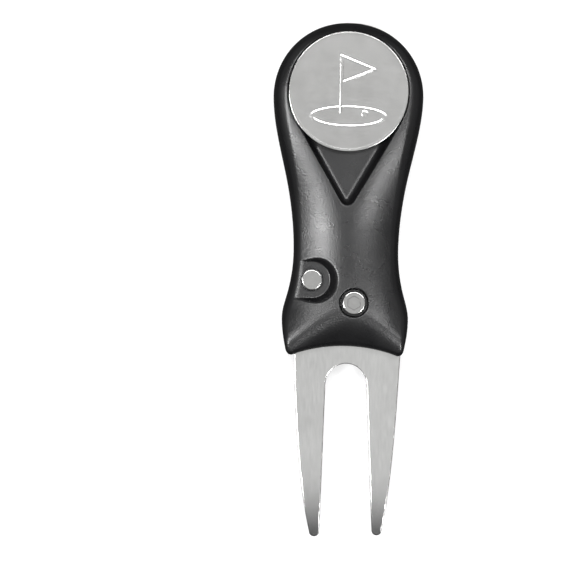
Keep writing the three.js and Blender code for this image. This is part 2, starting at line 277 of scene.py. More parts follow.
def cubic_weights(t):
    """How much each of four neighbours counts at a fraction t between the middle two."""
    t2 = t * t
    t3 = t2 * t
    return [(-t3 + 2 * t2 - t) / 2, (3 * t3 - 5 * t2 + 2) / 2, (-3 * t3 + 4 * t2 + t) / 2, (t3 - t2) / 2]


def smooth_max(a, b, width):
    """The larger of two fields, with the crease between them filled over a width."""
    overlap = np.clip(width - np.abs(a - b), 0, None) / width
    return np.maximum(a, b) + overlap * overlap * width / 4


def rounded_corner(a, b, radius):
    """Where two solids' insides overlap, with their shared edge rounded."""
    u = a + radius
    v = b + radius
    return np.minimum(np.maximum(u, v), 0) + np.hypot(np.maximum(u, 0), np.maximum(v, 0)) - radius


def disc(x, y, centre, radius):
    """Distance in plan to a circle."""
    return np.hypot(x - centre[0], y - centre[1]) - radius


def belt(x, y, a, radius_a, b, radius_b):
    """Two circles wrapped by one tight belt."""
    length = math.hypot(b[0] - a[0], b[1] - a[1])
    ux = (b[0] - a[0]) / length
    uy = (b[1] - a[1]) / length
    along = (x - a[0]) * ux + (y - a[1]) * uy
    across = np.abs((x - a[0]) * uy - (y - a[1]) * ux)
    sine = (radius_a - radius_b) / length
    cosine = math.sqrt(1 - sine * sine)
    k = along * cosine - across * sine
    near_a = np.hypot(across, along) - radius_a
    near_b = np.hypot(across, along - length) - radius_b
    between = across * cosine + along * sine - radius_a
    return np.where(k < 0, near_a, np.where(k > cosine * length, near_b, between))


def bore(x, y, z, centre, radius, low, high, soft=0.12):
    """An upright round hole or peg between two heights."""
    return smooth_max(disc(x, y, centre, radius), np.maximum(low - z, z - high), soft)


def curve_through(knots, t):
    """A smooth curve through (place, value) pairs, flat beyond both ends."""
    places = np.array([k[0] for k in knots], float)
    values = np.array([k[1] for k in knots], float)
    slopes = np.gradient(values, places)
    slopes[0] = 0
    slopes[-1] = 0
    t = np.clip(t, places[0], places[-1])
    i = np.clip(np.searchsorted(places, t, side="right") - 1, 0, len(places) - 2)
    gap = places[i + 1] - places[i]
    s = (t - places[i]) / gap
    s2 = s * s
    s3 = s2 * s
    return ((2 * s3 - 3 * s2 + 1) * values[i] + (s3 - 2 * s2 + s) * gap * slopes[i]
            + (-2 * s3 + 3 * s2) * values[i + 1] + (s3 - s2) * gap * slopes[i + 1])


# ---- The two shells ----

STEP = 0.25
CASE_LOW = (-17.0, -56.0)
CASE_HIGH = (17.0, 17.0)
OUTLINE = Plane(handle_outline(), CASE_LOW, CASE_HIGH, 0.25)
SWEEP = Plane(sweep_outline(), CASE_LOW, CASE_HIGH, 0.25)

SPINE_HEIGHT = [
    (-54, 11.8), (-49.5, 11.7), (-46, 11.55), (-42, 11.35), (-33, 11.3), (-27, 11.4),
    (-20, 11.7), (-12, 11.9), (-2, 11.88), (7, 11.75), (11, 11.35), (16, 9.9),
]
RIDGE_OFFSET = [
    (-55, 0.0), (-26, 0.0), (-20, 1.6), (-15.5, 3.6),
    (-11, 6.0), (-7, 8.2), (0, 11.5), (3, 12.5),
]
RIDGE_SOFTNESS = 1.2
EDGE_RADIUS = [
    (-54, 0.8), (-50, 1.2), (-44, 1.8), (-30, 1.8),
    (-18, 2.2), (-8, 2.9), (0, 3.1), (16, 3.1),
]
OUTER_BEND = [
    (-52, 0.004), (-49, 0.007), (-45.5, 0.012), (-42, 0.02),
    (-38, 0.029), (-33, 0.036), (-28, 0.04), (-10, 0.042),
]
INNER_BEND = 0.045
HIP_START = -34
HIP_LENGTH = 11
LIP_TOP = -46.8
LIP_SOFTNESS = 2.9
LIP_BOW = 3.55
LIP_BOW_REACH = 5.0
LIP_SLOPE = 0.62


def smooth_step(t):
    """Eases from 0 to 1 as t does."""
    t = np.clip(t, 0, 1)
    return t * t * (3 - 2 * t)


def top_surface(x, y):
    """Height of the crowned front face, before its edge is rounded over."""
    beside = np.sqrt(x * x + RIDGE_SOFTNESS ** 2) - curve_through(RIDGE_OFFSET, y)
    bow = LIP_BOW * (np.sqrt(1 + (x / LIP_BOW_REACH) ** 2) - 1)
    level = y + bow * smooth_step((HIP_START - y) / HIP_LENGTH)
    bend = np.where(beside > 0, curve_through(OUTER_BEND, level), INNER_BEND)
    below_lip = LIP_TOP - bow - y
    rounding = np.clip(below_lip + LIP_SOFTNESS, 0, None) ** 2 / (4 * LIP_SOFTNESS)
    ramp = np.where(below_lip > LIP_SOFTNESS, below_lip, rounding)
    return curve_through(SPINE_HEIGHT, level) - beside * beside * bend / 2 - LIP_SLOPE * ramp


def whole_case(x, y, z):
    """The closed case, before it is parted and hollowed."""
    side = OUTLINE.at(x, y)
    top = rounded_corner(side, z - top_surface(x, y), curve_through(EDGE_RADIUS, y))
    return np.maximum(top, rounded_corner(side, -z, BACK_EDGE_RADIUS))


def window(x, y, z):
    """The slot in the right side where the fork's shoulder comes flush when folded."""
    plan = np.maximum(WINDOW_EDGE - x, np.abs(y - WINDOW_Y) - WINDOW_HALF_LENGTH)
    return np.maximum(plan, np.maximum(CAVITY[0] - z, z - CAVITY[1]))


def well(x, y, z):
    """The flat-floored hollow round the button, open to the left, with a wall that leans outward."""
    rise = z - WELL_FLOOR
    flare = np.clip(rise, -0.5, WELL_DEPTH)
    right = np.clip(x - BUTTON[0] - WELL_LEAN * flare, 0, None)
    wall = np.hypot(right, y - BUTTON[1]) - WELL_RADIUS - flare * WELL_SPREAD
    return smooth_max(wall * 0.8, -rise, 0.12)


def notch(x, y, z):
    """The thumb notch: a V with slanted walls that meet its floor in a soft curve."""
    tip_y = MARKER[1] - (POCKET_RADIUS - NOTCH_TIP_RADIUS) / math.sin(NOTCH_HALF_ANGLE)
    walls = belt(x - NOTCH_LEAN * (z - 10.5), y, MARKER, POCKET_RADIUS, (0.0, tip_y), NOTCH_TIP_RADIUS)
    rise = z - NOTCH_FLOOR
    slanted = (walls + NOTCH_DRAFT * (NOTCH_DEPTH - rise)) * 0.95
    ledge = y - (MARKER[1] - NOTCH_START)
    return np.maximum(smooth_max(slanted, -rise, NOTCH_FOOT_RADIUS), ledge)


def front_field(x, y, z):
    """The front shell: the case above the parting, less everything cut into it."""
    plate_top = heights("lock_plate")[1]
    plate_room = belt(x, y, BUTTON, PLATE_ROOM[0], LOCK, PLATE_ROOM[1])
    pocket = bore(x, y, z, MARKER, POCKET_RADIUS, POCKET_FLOOR, ABOVE, 0.25)
    counterbore = bore(x, y, z, PIVOT, *COUNTERBORE, ABOVE, 0.25)
    body = whole_case(x, y, z)
    body = smooth_max(body, -notch(x, y, z), 0.35)
    body = smooth_max(body, -pocket, 0.3)
    body = smooth_max(body, -well(x, y, z), 0.3)
    body = smooth_max(body, -counterbore, 0.3)
    body = smooth_max(body, -np.maximum(SWEEP.at(x, y), z - CAVITY[1]), 0.2)
    body = smooth_max(body, -window(x, y, z), 0.2)
    body = np.maximum(body, -bore(x, y, z, MARKER, *MAGNET_BORE, ABOVE))
    body = np.maximum(body, -bore(x, y, z, BUTTON, BUTTON_BORE, 6, ABOVE))
    body = np.maximum(body, -np.maximum(plate_room, z - plate_top - 0.1))
    body = np.maximum(body, -bore(x, y, z, PIVOT, SLEEVE_BORE, 5, ABOVE))
    body = np.maximum(body, -bore(x, y, z, PIVOT, SPRING_POCKET, 5, FRONT_WASHER_ROOF))
    for screw in SCREWS:
        body = np.maximum(body, -bore(x, y, z, screw, 1.15, 4, 8.2))
    for peg in PEGS:
        body = np.maximum(body, -bore(x, y, z, peg, 1.05, 4, 6.5))
    return smooth_max(body, PARTING + SEAM - z, 0.3)


def back_field(x, y, z):
    """The back shell: the case below the parting, with its two locating pegs."""
    start = math.radians(TORSION_START)
    along = (x - PIVOT[0]) * math.cos(start) + (y - PIVOT[1]) * math.sin(start)
    across = (x - PIVOT[0]) * -math.sin(start) + (y - PIVOT[1]) * math.cos(start)
    groove = np.maximum(np.abs(along - 5.25) - 2.0, np.abs(across) - 0.45)
    groove = np.maximum(groove, SPRING_POCKET_FLOOR - z)
    washer_room = np.maximum(np.abs(np.hypot(x - PIVOT[0], y - PIVOT[1]) - 8.15) - 0.75, 3.75 - z)
    body = whole_case(x, y, z)
    body = smooth_max(body, -np.maximum(SWEEP.at(x, y), CAVITY[0] - z), 0.2)
    body = smooth_max(body, -window(x, y, z), 0.2)
    body = smooth_max(body, -bore(x, y, z, PIVOT, NUT_RECESS[0], BELOW, NUT_RECESS[1]), 0.2)
    body = np.maximum(body, -bore(x, y, z, PIVOT, SPRING_POCKET, SPRING_POCKET_FLOOR, ABOVE))
    body = np.maximum(body, -groove)
    body = np.maximum(body, -washer_room)
    body = np.maximum(body, -bore(x, y, z, PIVOT, SLEEVE_BORE, BELOW, ABOVE))
    body = np.maximum(body, -bore(x, y, z, LOCK, *BUTTON_SPRING_BORE, ABOVE))
    for screw in SCREWS:
        body = smooth_max(body, -bore(x, y, z, screw, 2.1, BELOW, 1.6), 0.2)
        body = np.maximum(body, -bore(x, y, z, screw, 1.2, BELOW, ABOVE))
    body = smooth_max(body, z - PARTING + SEAM, 0.3)
    for peg in PEGS:
        body = np.minimum(body, bore(x, y, z, peg, 0.95, 4, 6.3))
    return body


# ---- Turning fields and profiles into meshes ----

def sample(field, low, high, step):
    """A field's values on a grid that reaches a little past the box."""
    axes = [np.arange(low[k] - 1.5 * step, high[k] + 2 * step, step) for k in range(3)]
    values = field(axes[0][:, None, None], axes[1][None, :, None], axes[2][None, None, :])
    values = np.array(np.broadcast_to(values, [len(a) for a in axes]))
    return axes, np.where(values == 0, 1e-9, values)


def gradient(field, p, h=0.02):
    """Slope of a field at each point, from differences over a short distance."""
    parts = []
    for k in range(3):
        ahead = p.copy()
        behind = p.copy()
        ahead[:, k] += h
        behind[:, k] -= h
        parts.append((field(*ahead.T) - field(*behind.T)) / (2 * h))
    return np.stack(parts, axis=1)


def crossed_cells(inside):
    """Index of every grid cell that has corners on both sides of the surface."""
    cells = tuple(n - 1 for n in inside.shape)
    corner_count = np.zeros(cells, np.int8)
    for a in (0, 1):
        for b in (0, 1):
            for c in (0, 1):
                corner_count += inside[a:a + cells[0], b:b + cells[1], c:c + cells[2]]
    return np.array(np.nonzero((corner_count > 0) & (corner_count < 8))), cells


def mean_crossing(values, cell):
    """Middle of the places where the surface crosses each cell's edges, in cells from its corner."""
    total = np.zeros((cell.shape[1], 3))
    crossings = np.zeros(cell.shape[1])
    for axis in range(3):
        others = [k for k in range(3) if k != axis]
        for a in (0, 1):
            for b in (0, 1):
                start = cell.copy()
                start[others[0]] += a
                start[others[1]] += b
                end = start.copy()
                end[axis] += 1
                f0 = values[tuple(start)]
                f1 = values[tuple(end)]
                crossed = (f0 < 0) != (f1 < 0)
                t = np.where(crossed, f0 / np.where(crossed, f0 - f1, 1), 0)
                place = (start - cell).T.astype(float)
                place[:, axis] += t
                total += place * crossed[:, None]
                crossings += crossed
    return total / crossings[:, None]


def net_quads(inside, number, cells):
    """A quad round every grid edge that the surface crosses, its face turned outward."""
    quads = []
    for axis in range(3):
        u, v = (axis + 1) % 3, (axis + 2) % 3
        first = [slice(None)] * 3
        second = [slice(None)] * 3
        first[axis] = slice(0, -1)
        second[axis] = slice(1, None)
        here = inside[tuple(first)]
        there = inside[tuple(second)]
        edge = np.array(np.nonzero(here != there))
        keep = (edge[u] > 0) & (edge[v] > 0) & (edge[u] < cells[u]) & (edge[v] < cells[v])
        edge = edge[:, keep]
        outward = here[tuple(edge)]
        ring = []
        for du, dv in ((-1, -1), (0, -1), (0, 0), (-1, 0)):
            at = edge.copy()
            at[u] += du
            at[v] += dv
            ring.append(number[tuple(at)])
        quad = np.stack(ring, axis=1)
        quads.append(np.where(outward[:, None], quad, quad[:, ::-1]))
    return np.vstack(quads)


def pulled_to_surface(field, points, step):
    """Points moved along the field's slope until they lie on its surface, and their directions."""
    for _ in range(3):
        slope = gradient(field, points)
        size = (slope ** 2).sum(axis=1)
        move = -field(*points.T)[:, None] * slope / np.maximum(size, 0.2)[:, None]
        length = np.sqrt((move ** 2).sum(axis=1))[:, None]
        points = points + move * np.minimum(1, 0.4 * step / np.maximum(length, 1e-9))
    slope = gradient(field, points)
    slope /= np.maximum(np.sqrt((slope ** 2).sum(axis=1)), 1e-6)[:, None]
    return points, slope


def surface_net(field, low, high, step):
    """A field's surface as vertices, quads and vertex directions: a vertex in each cell it crosses."""
    axes, values = sample(field, low, high, step)
    inside = values < 0
    cell, cells = crossed_cells(inside)
    number = -np.ones(cells, np.int64)
    number[tuple(cell)] = np.arange(cell.shape[1])
    origin = np.array([a[0] for a in axes])
    points = origin + step * (cell.T + mean_crossing(values, cell))
    quads = net_quads(inside, number, cells)
    points, normals = pulled_to_surface(field, points, step)
    return points, quads, normals


def add_piece(name, points, faces, normals=None, sharp=None):
    """A mesh object from points in millimetres about the head's centre."""
    mesh = bpy.data.meshes.new(name)
    placed = (np.asarray(points, float) + [0, HEAD_Y, 0]) * MM
    mesh.from_pydata(placed.tolist(), [], [list(map(int, f)) for f in faces])
    mesh.validate()
    mesh.shade_smooth()
    if normals is not None:
        mesh.normals_split_custom_set_from_vertices(normals.tolist())
    if sharp is not None:
        mesh.set_sharp_from_angle(angle=math.radians(sharp))
    piece = bpy.data.objects.new(name, mesh)
    bpy.context.scene.collection.objects.link(piece)
    return piece


def field_piece(name, field, low, high, step):
    """A mesh object from a field, sampled between two corners."""
    points, quads, normals = surface_net(field, low, high, step)
    return add_piece(name, points, quads, normals)


def stand_in(piece, node, body, material):
    """Gives a piece its material and puts it in the place of its CAD node."""
    piece.data.materials.append(material)
    if body:
        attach(piece, body)
    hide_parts(node)
    return piece


def loft(centre, rings, count=96):
    """A closed turned form. Each ring is (radius, height), and a radius may be a function of angle."""
    angles = np.linspace(0, 2 * math.pi, count, endpoint=False)
    points = [(centre[0], centre[1], rings[0][1])]
    for radius, height in rings:
        reach = radius(angles) if callable(radius) else np.full(count, radius)
        across = centre[0] + reach * np.cos(angles)
        along = centre[1] + reach * np.sin(angles)
        points += list(zip(across, along, [height] * count))
    points.append((centre[0], centre[1], rings[-1][1]))
    faces = []
    last = len(points) - 1
    for k in range(count):
        nxt = (k + 1) % count
        faces.append((0, 1 + nxt, 1 + k))
        for r in range(len(rings) - 1):
            base = 1 + r * count
            faces.append((base + k, base + nxt, base + count + nxt, base + count + k))
        top = 1 + (len(rings) - 1) * count
        faces.append((top + k, top + nxt, last))
    return points, faces


def tube_ring(centre, inner, outer, low, high, edge=0.08, count=96):
    """A washer or bush with softened edges."""
    section = [
        (inner, low + edge), (inner + edge, low), (outer - edge, low), (outer, low + edge),
        (outer, high - edge), (outer - edge, high), (inner + edge, high), (inner, high - edge),
    ]
    angles = np.linspace(0, 2 * math.pi, count, endpoint=False)
    points = []
    for a in angles:
        points += [(centre[0] + r * math.cos(a), centre[1] + r * math.sin(a), z) for r, z in section]
    size = len(section)
    faces = []
    for k in range(count):
        nxt = (k + 1) % count
        for s in range(size):
            after = (s + 1) % size
            faces.append((k * size + s, nxt * size + s, nxt * size + after, k * size + after))
    return points, faces


def wire(path, radius, sides=12):
    """Round wire along a path of points, with closed ends."""
    path = np.array(path, float)
    tangent = np.gradient(path, axis=0)
    tangent /= np.linalg.norm(tangent, axis=1)[:, None]
    across = np.cross(tangent[0], [0.3, 0.2, 0.93])
    points = []
    for place, along in zip(path, tangent):
        across = across - along * (across @ along)
        across /= np.linalg.norm(across)
        other = np.cross(along, across)
        for k in range(sides):
            a = 2 * math.pi * k / sides
            points.append(place + radius * (math.cos(a) * across + math.sin(a) * other))
    faces = []
    for r in range(len(path) - 1):
        for k in range(sides):
            nxt = (k + 1) % sides
            faces.append((r * sides + k, r * sides + nxt, (r + 1) * sides + nxt, (r + 1) * sides + k))
    faces.append(tuple(range(sides - 1, -1, -1)))
    faces.append(tuple(range((len(path) - 1) * sides, len(path) * sides)))
    return points, faces


# ---- Materials. Lengths inside them are in metres. ----

# Painted shade: the fork's colour is darkened toward this grey over the last part of the prongs,
# standing in for the dim reflection of the tapered tips.
TIP_SHADE_START = -78
TIP_SHADE_END = -92
TIP_SHADE_COLOR = (0.24, 0.24, 0.24)


def new_material(name, color, roughness, metallic, specular=0.5):
    material = bpy.data.materials.new(name)
    material.use_nodes = True
    shader = material.node_tree.nodes["Principled BSDF"]
    shader.inputs["Base Color"].default_value = (*color, 1)
    shader.inputs["Roughness"].default_value = roughness
    shader.inputs["Metallic"].default_value = metallic
    shader.inputs["Specular IOR Level"].default_value = specular
    return material, material.node_tree, shader


def add_node(tree, kind, inputs=None, **settings):
    node = tree.nodes.new(kind)
    for key, value in settings.items():
        setattr(node, key, value)
    for key, value in (inputs or {}).items():
        if isinstance(value, bpy.types.NodeSocket):
            tree.links.new(value, node.inputs[key])
        else:
            node.inputs[key].default_value = value
    return node


def stretched(tree, scale):
    """The piece's own coordinates, multiplied by a scale along each axis."""
    place = add_node(tree, "ShaderNodeTexCoord").outputs["Object"]
    return add_node(tree, "ShaderNodeMapping", {"Vector": place, "Scale": scale}).outputs["Vector"]


def noise(tree, vector, scale, detail=3.0, rough=0.5):
    inputs = {"Vector": vector, "Scale": scale, "Detail": detail, "Roughness": rough}
    return add_node(tree, "ShaderNodeTexNoise", inputs).outputs["Fac"]


def spread(tree, value, low, high):
    """Maps noise's middle range onto low to high."""
    inputs = {"Value": value, "From Min": 0.3, "From Max": 0.7, "To Min": low, "To Max": high}
    return add_node(tree, "ShaderNodeMapRange", inputs).outputs["Result"]


def mixed(tree, factor, a, b):
    """A mix of two colours, each given as a colour with alpha or as another node's output."""
    node = add_node(tree, "ShaderNodeMix", {"Factor": factor, "A": a, "B": b}, data_type="RGBA")
    return next(o for o in node.outputs if o.type == "RGBA")


def tint(tree, value, dark, light):
    """A colour that goes from dark to light as a value goes from 0 to 1."""
    return mixed(tree, value, (*dark, 1), (*light, 1))


def bump(tree, shader, height, strength, distance):
    inputs = {"Height": height, "Strength": strength, "Distance": distance}
    node = add_node(tree, "ShaderNodeBump", inputs)
    tree.links.new(node.outputs["Normal"], shader.inputs["Normal"])


def moulded_black(name, roughness, grain_depth):
    """Matt rubbery paint over the mouldings: fine grain, and patches that are a little more worn."""
    material, tree, shader = new_material(name, (0.0055, 0.0055, 0.006), roughness, 0.0)
    even = stretched(tree, (1, 1, 1))
    grain = noise(tree, even, 3000, 1.5)
    cloud = noise(tree, even, 160, 3.0)
    color = tint(tree, spread(tree, cloud, 0, 1), (0.004, 0.004, 0.0045), (0.007, 0.007, 0.0075))
    tree.links.new(color, shader.inputs["Base Color"])
    tree.links.new(spread(tree, cloud, roughness - 0.02, roughness + 0.02), shader.inputs["Roughness"])
    bump(tree, shader, grain, 1.0, grain_depth)
    return material


def satin_steel():
    """Stainless sheet with a fine grain rolled along the prongs, its colour painted darker toward the
    tips as painted shade for the dim reflection of the tapered tips.
    """
    material, tree, shader = new_material("satin_steel", (0.66, 0.66, 0.65), 0.22, 1.0)
    streaks = noise(tree, stretched(tree, (9000, 420, 9000)), 1.0, 3.0)
    cloud = noise(tree, stretched(tree, (1, 1, 1)), 120, 2.0)
    place = add_node(tree, "ShaderNodeTexCoord").outputs["Object"]
    along = add_node(tree, "ShaderNodeSeparateXYZ", {"Vector": place}).outputs["Y"]
    # Painted shade: the base colour blends from the sheet's colour to the dark grey toward the tips, in
    # place of their dim reflection.
    inputs = {"Value": along, "To Min": 1.0, "To Max": 0.0}
    inputs["From Min"] = (HEAD_Y + TIP_SHADE_END) * MM
    inputs["From Max"] = (HEAD_Y + TIP_SHADE_START) * MM
    tip_shade = add_node(tree, "ShaderNodeMapRange", inputs, interpolation_type="SMOOTHSTEP")
    sheet = tint(tree, spread(tree, cloud, 0, 1), (0.68, 0.68, 0.67), (0.74, 0.74, 0.73))
    color = mixed(tree, tip_shade.outputs["Result"], sheet, (*TIP_SHADE_COLOR, 1))
    tree.links.new(color, shader.inputs["Base Color"])
    tree.links.new(spread(tree, streaks, 0.13, 0.19), shader.inputs["Roughness"])
    bump(tree, shader, streaks, 0.05, 0.00001)
    return material


def satin_nickel():
    """Struck and plated marker: soft sheen with faint handling marks."""
    material, tree, shader = new_material("satin_nickel", (0.6, 0.6, 0.59), 0.15, 1.0)
    even = stretched(tree, (1, 1, 1))
    fine = noise(tree, even, 3800, 3.0)
    marks = noise(tree, stretched(tree, (600, 2600, 600)), 1.0, 4.0, 0.6)
    cloud = noise(tree, even, 240, 3.0)
    color = tint(tree, spread(tree, cloud, 0, 1), (0.54, 0.54, 0.53), (0.60, 0.60, 0.59))
    tree.links.new(color, shader.inputs["Base Color"])
    tree.links.new(spread(tree, marks, 0.14, 0.17), shader.inputs["Roughness"])
    bump(tree, shader, fine, 0.03, 0.00002)
    return material


def turned_steel(name, centre, color=(0.58, 0.58, 0.57), rings=9000, low=0.1, high=0.16):
    """Lathe-turned steel: fine rings round the piece's own axis."""
    material, tree, shader = new_material(name, color, low, 1.0)
    place = add_node(tree, "ShaderNodeTexCoord")
    offset = (-centre[0] * MM, -(centre[1] + HEAD_Y) * MM, 0)
    moved = add_node(tree, "ShaderNodeMapping", {"Vector": place.outputs["Object"], "Location": offset})
    inputs = {"Vector": moved.outputs["Vector"], "Scale": rings, "Distortion": 1.5, "Detail": 2.0}
    grooves = add_node(tree, "ShaderNodeTexWave", inputs, wave_type="RINGS", rings_direction="Z")
    tree.links.new(spread(tree, grooves.outputs["Fac"], low, high), shader.inputs["Roughness"])
    cloud = noise(tree, place.outputs["Object"], 900)
    shade = tint(tree, cloud, [0.86 * c for c in color], color)
    tree.links.new(shade, shader.inputs["Base Color"])
    bump(tree, shader, grooves.outputs["Fac"], 0.05, 0.000004)
    return material


def spring_steel():
    """Oil-darkened steel, mottled."""
    material, tree, shader = new_material("spring_steel", (0.3, 0.3, 0.31), 0.3, 1.0)
    mottle = noise(tree, stretched(tree, (1, 1, 1)), 1500, 4.0)
    color = tint(tree, spread(tree, mottle, 0, 1), (0.24, 0.24, 0.25), (0.36, 0.36, 0.37))
    tree.links.new(color, shader.inputs["Base Color"])
    tree.links.new(spread(tree, mottle, 0.24, 0.4), shader.inputs["Roughness"])
    bump(tree, shader, mottle, 0.1, 0.00001)
    return material


def natural_nylon():
    """Cream nylon, slightly cloudy."""
    material, tree, shader = new_material("natural_nylon", (0.78, 0.76, 0.69), 0.5, 0.0)
    cloud = noise(tree, stretched(tree, (1, 1, 1)), 900, 3.0)
    color = tint(tree, spread(tree, cloud, 0, 1), (0.72, 0.70, 0.62), (0.82, 0.80, 0.74))
    tree.links.new(color, shader.inputs["Base Color"])
    tree.links.new(spread(tree, cloud, 0.44, 0.58), shader.inputs["Roughness"])
    bump(tree, shader, cloud, 0.1, 0.00002)
    return material


BLACK = moulded_black("soft_touch_black", 0.28, 0.000032)
SMOOTH_BLACK = moulded_black("smooth_black", 0.26, 0.000004)
STEEL = satin_steel()
NICKEL = satin_nickel()
SPRING = spring_steel()
NYLON = natural_nylon()
BRASS = turned_steel("turned_brass", PIVOT, (0.72, 0.5, 0.2))

# ---- Casing ----

SCREWS = [middle(f"case_screw_{k}") for k in (1, 2, 3)]
PEGS = [(0.5, 12.4), (10.5, -3.5)]


def build_shell(node, field, low, high):
    """One half of the case, with the notch's floor in the smoother finish."""
    points, quads, normals = surface_net(field, (-15.7, -54.2, low), (15.7, 15.7, high), STEP)
    shell = stand_in(add_piece(node + "_cover", points, quads, normals), node, "handle", BLACK)
    shell.data.materials.append(SMOOTH_BLACK)
    middles = points[quads].mean(axis=1)
    on_floor = np.abs(middles[:, 2] - NOTCH_FLOOR) < 0.12
    in_notch = (np.abs(middles[:, 0]) < 9) & (middles[:, 1] > -23)
    shell.data.polygons.foreach_set("material_index", (on_floor & in_notch).astype(np.int32))


build_shell("front_shell", front_field, PARTING, 12.0)
build_shell("back_shell", back_field, 0.0, 6.4)

# ---- Fork ----

FORK_OUTLINE = Plane(fork_outline(), (-12.5, -94.0), (14.0, -32.0), 0.2)
TAPER_START = -79.0
TAPER_END = -92.1
TAPER_POWER = 2.5
TIP_THICKNESS = 0.3
FORK_EDGE = 0.14
FORK_HOLE = 2.56
SLOT_HALF_WIDTH = 1.15


def lock_slot(x, y):
    """The curved slot in the tang, as a distance in plan."""
    dx = x - PIVOT[0]
    dy = y - PIVOT[1]
    middle_angle = math.radians(LOCK_DIRECTION + FOLDED_ANGLE / 2)
    half = math.radians(FOLDED_ANGLE / 2)
    along = dx * math.cos(middle_angle) + dy * math.sin(middle_angle)
    across = np.abs(-dx * math.sin(middle_angle) + dy * math.cos(middle_angle))
    angle = np.arctan2(across, along)
    end = (LOCK_RADIUS * math.cos(half), LOCK_RADIUS * math.sin(half))
    by_end = np.hypot(along - end[0], across - end[1])
    by_arc = np.abs(np.hypot(dx, dy) - LOCK_RADIUS)
    return np.where(angle < half, by_arc, by_end) - SLOT_HALF_WIDTH


def fork_field(x, y, z):
    """The fork: its outline less two holes and the lock pin's slot, thinned at the tips."""
    low, high = heights("fork")
    post = arc(PIVOT, TORSION_RADIUS, TORSION_START + 360 * TORSION_TURNS, 0, 1)[0]
    plan = FORK_OUTLINE.at(x, y)
    plan = np.maximum(plan, -disc(x, y, PIVOT, FORK_HOLE))
    plan = np.maximum(plan, -disc(x, y, post, TORSION_POST_HOLE))
    plan = np.maximum(plan, -lock_slot(x, y))
    taper = np.clip((TAPER_START - y) / (TAPER_START - TAPER_END), 0, 1) ** TAPER_POWER
    half = (high - low) / 2 * (1 - (1 - TIP_THICKNESS) * taper)
    return rounded_corner(plan, np.abs(z - (low + high) / 2) - half, FORK_EDGE)


stand_in(field_piece("fork_blade", fork_field, (-10.8, -92.2, 4.2), (12.0, -34.0, 6.4), STEP * 0.8),
         "fork", "swinging_fork", STEEL)

# ---- Ball marker with a generic raised flag on a green ----

MARKER_FIELD = 0.15
MARKER_FACE_RADIUS = 12.36
MARKER_EDGE = 0.14
MARKER_EDGE_DROP = 0.13
RIM_START = 11.8
RIM_WIDTH = 0.3
RIM_RISE = 0.012
EMBLEM_RISE = 0.04
POLE = ((-1.6, -4.4), (-1.6, 7.4))
FLAG_CORNERS = [(-1.3, 7.3), (5.4, 4.6), (-1.3, 1.9)]
POLE_HALF_WIDTH = 0.16
LINE_HALF_WIDTH = 0.12


def segment(x, y, a, b, half_width):
    """Distance in plan to a straight line with round ends."""
    dx, dy = b[0] - a[0], b[1] - a[1]
    t = np.clip(((x - a[0]) * dx + (y - a[1]) * dy) / (dx * dx + dy * dy), 0, 1)
    return np.hypot(x - a[0] - t * dx, y - a[1] - t * dy) - half_width


def emblem(x, y):
    """Distance in plan to the raised flag, pole, green and ball."""
    pole = segment(x, y, *POLE, POLE_HALF_WIDTH)
    sides = zip(FLAG_CORNERS, FLAG_CORNERS[1:] + FLAG_CORNERS[:1])
    flag = np.minimum.reduce([segment(x, y, a, b, LINE_HALF_WIDTH) for a, b in sides])
    green = np.abs(np.hypot(x / 7.6, (y + 5.2) / 2.0) - 1) * 3.0 - LINE_HALF_WIDTH
    ball = disc(x, y, (3.4, -4.6), 0.6)
    return np.minimum.reduce([pole, flag, green, ball])


def marker_height(x, y, high):
    """Height of the marker's face: a low rim, and the emblem stamped up from the field."""
    rim = smooth_step((np.hypot(x, y) - RIM_START) / RIM_WIDTH)
    relief = 1 - smooth_step((emblem(x, y) + 0.08) / 0.2)
    return high - MARKER_FIELD + RIM_RISE * rim + EMBLEM_RISE * relief


def marker_edge(low, high):
    """The marker's rounded side, from its face down to its back."""
    top = high - MARKER_EDGE_DROP - MARKER_EDGE
    bottom = low + MARKER_EDGE
    face, turn = MARKER_FACE_RADIUS, MARKER_EDGE
    upper, lower = np.radians([20, 40, 60, 80, 90]), np.radians([0, 25, 50, 75, 90])
    edge = [(face + turn * math.sin(a), top + turn * math.cos(a)) for a in upper]
    edge += [(face + turn * math.cos(a), bottom - turn * math.sin(a)) for a in lower]
    edge.append((6.0, low))
    return edge


def build_marker():
    """The whole marker as one form, its face on rings close enough to carry the emblem."""
    low, high = heights("ball_marker")
    count = 420
    radii = np.concatenate([np.linspace(0.1, 11.6, 96), np.linspace(11.66, MARKER_FACE_RADIUS, 14)])
    angles = np.linspace(0, 2 * math.pi, count, endpoint=False)
    x = radii[:, None] * np.cos(angles)
    y = radii[:, None] * np.sin(angles)
    z = marker_height(x, y, high)
    points = [(0.0, MARKER[1], high - MARKER_FIELD)]
    points += list(zip(x.ravel(), y.ravel() + MARKER[1], z.ravel()))
    edge = marker_edge(low, high)
    for radius, height in edge:
        across = radius * np.cos(angles)
        along = radius * np.sin(angles) + MARKER[1]
        points += list(zip(across, along, [height] * count))
    points.append((0.0, MARKER[1], low))
    rows = len(radii) + len(edge)
    faces = []
    for k in range(count):
        nxt = (k + 1) % count
        faces.append((0, 1 + k, 1 + nxt))
        for r in range(rows - 1):
            base = 1 + r * count
            faces.append((base + k, base + count + k, base + count + nxt, base + nxt))
        bottom = 1 + (rows - 1) * count
        faces.append((bottom + k, len(points) - 1, bottom + nxt))
    return add_piece("flag_marker", points, faces, sharp=50)


stand_in(build_marker(), "ball_marker", "marker", NICKEL)

# ---- Button, screw and the small turned pieces ----

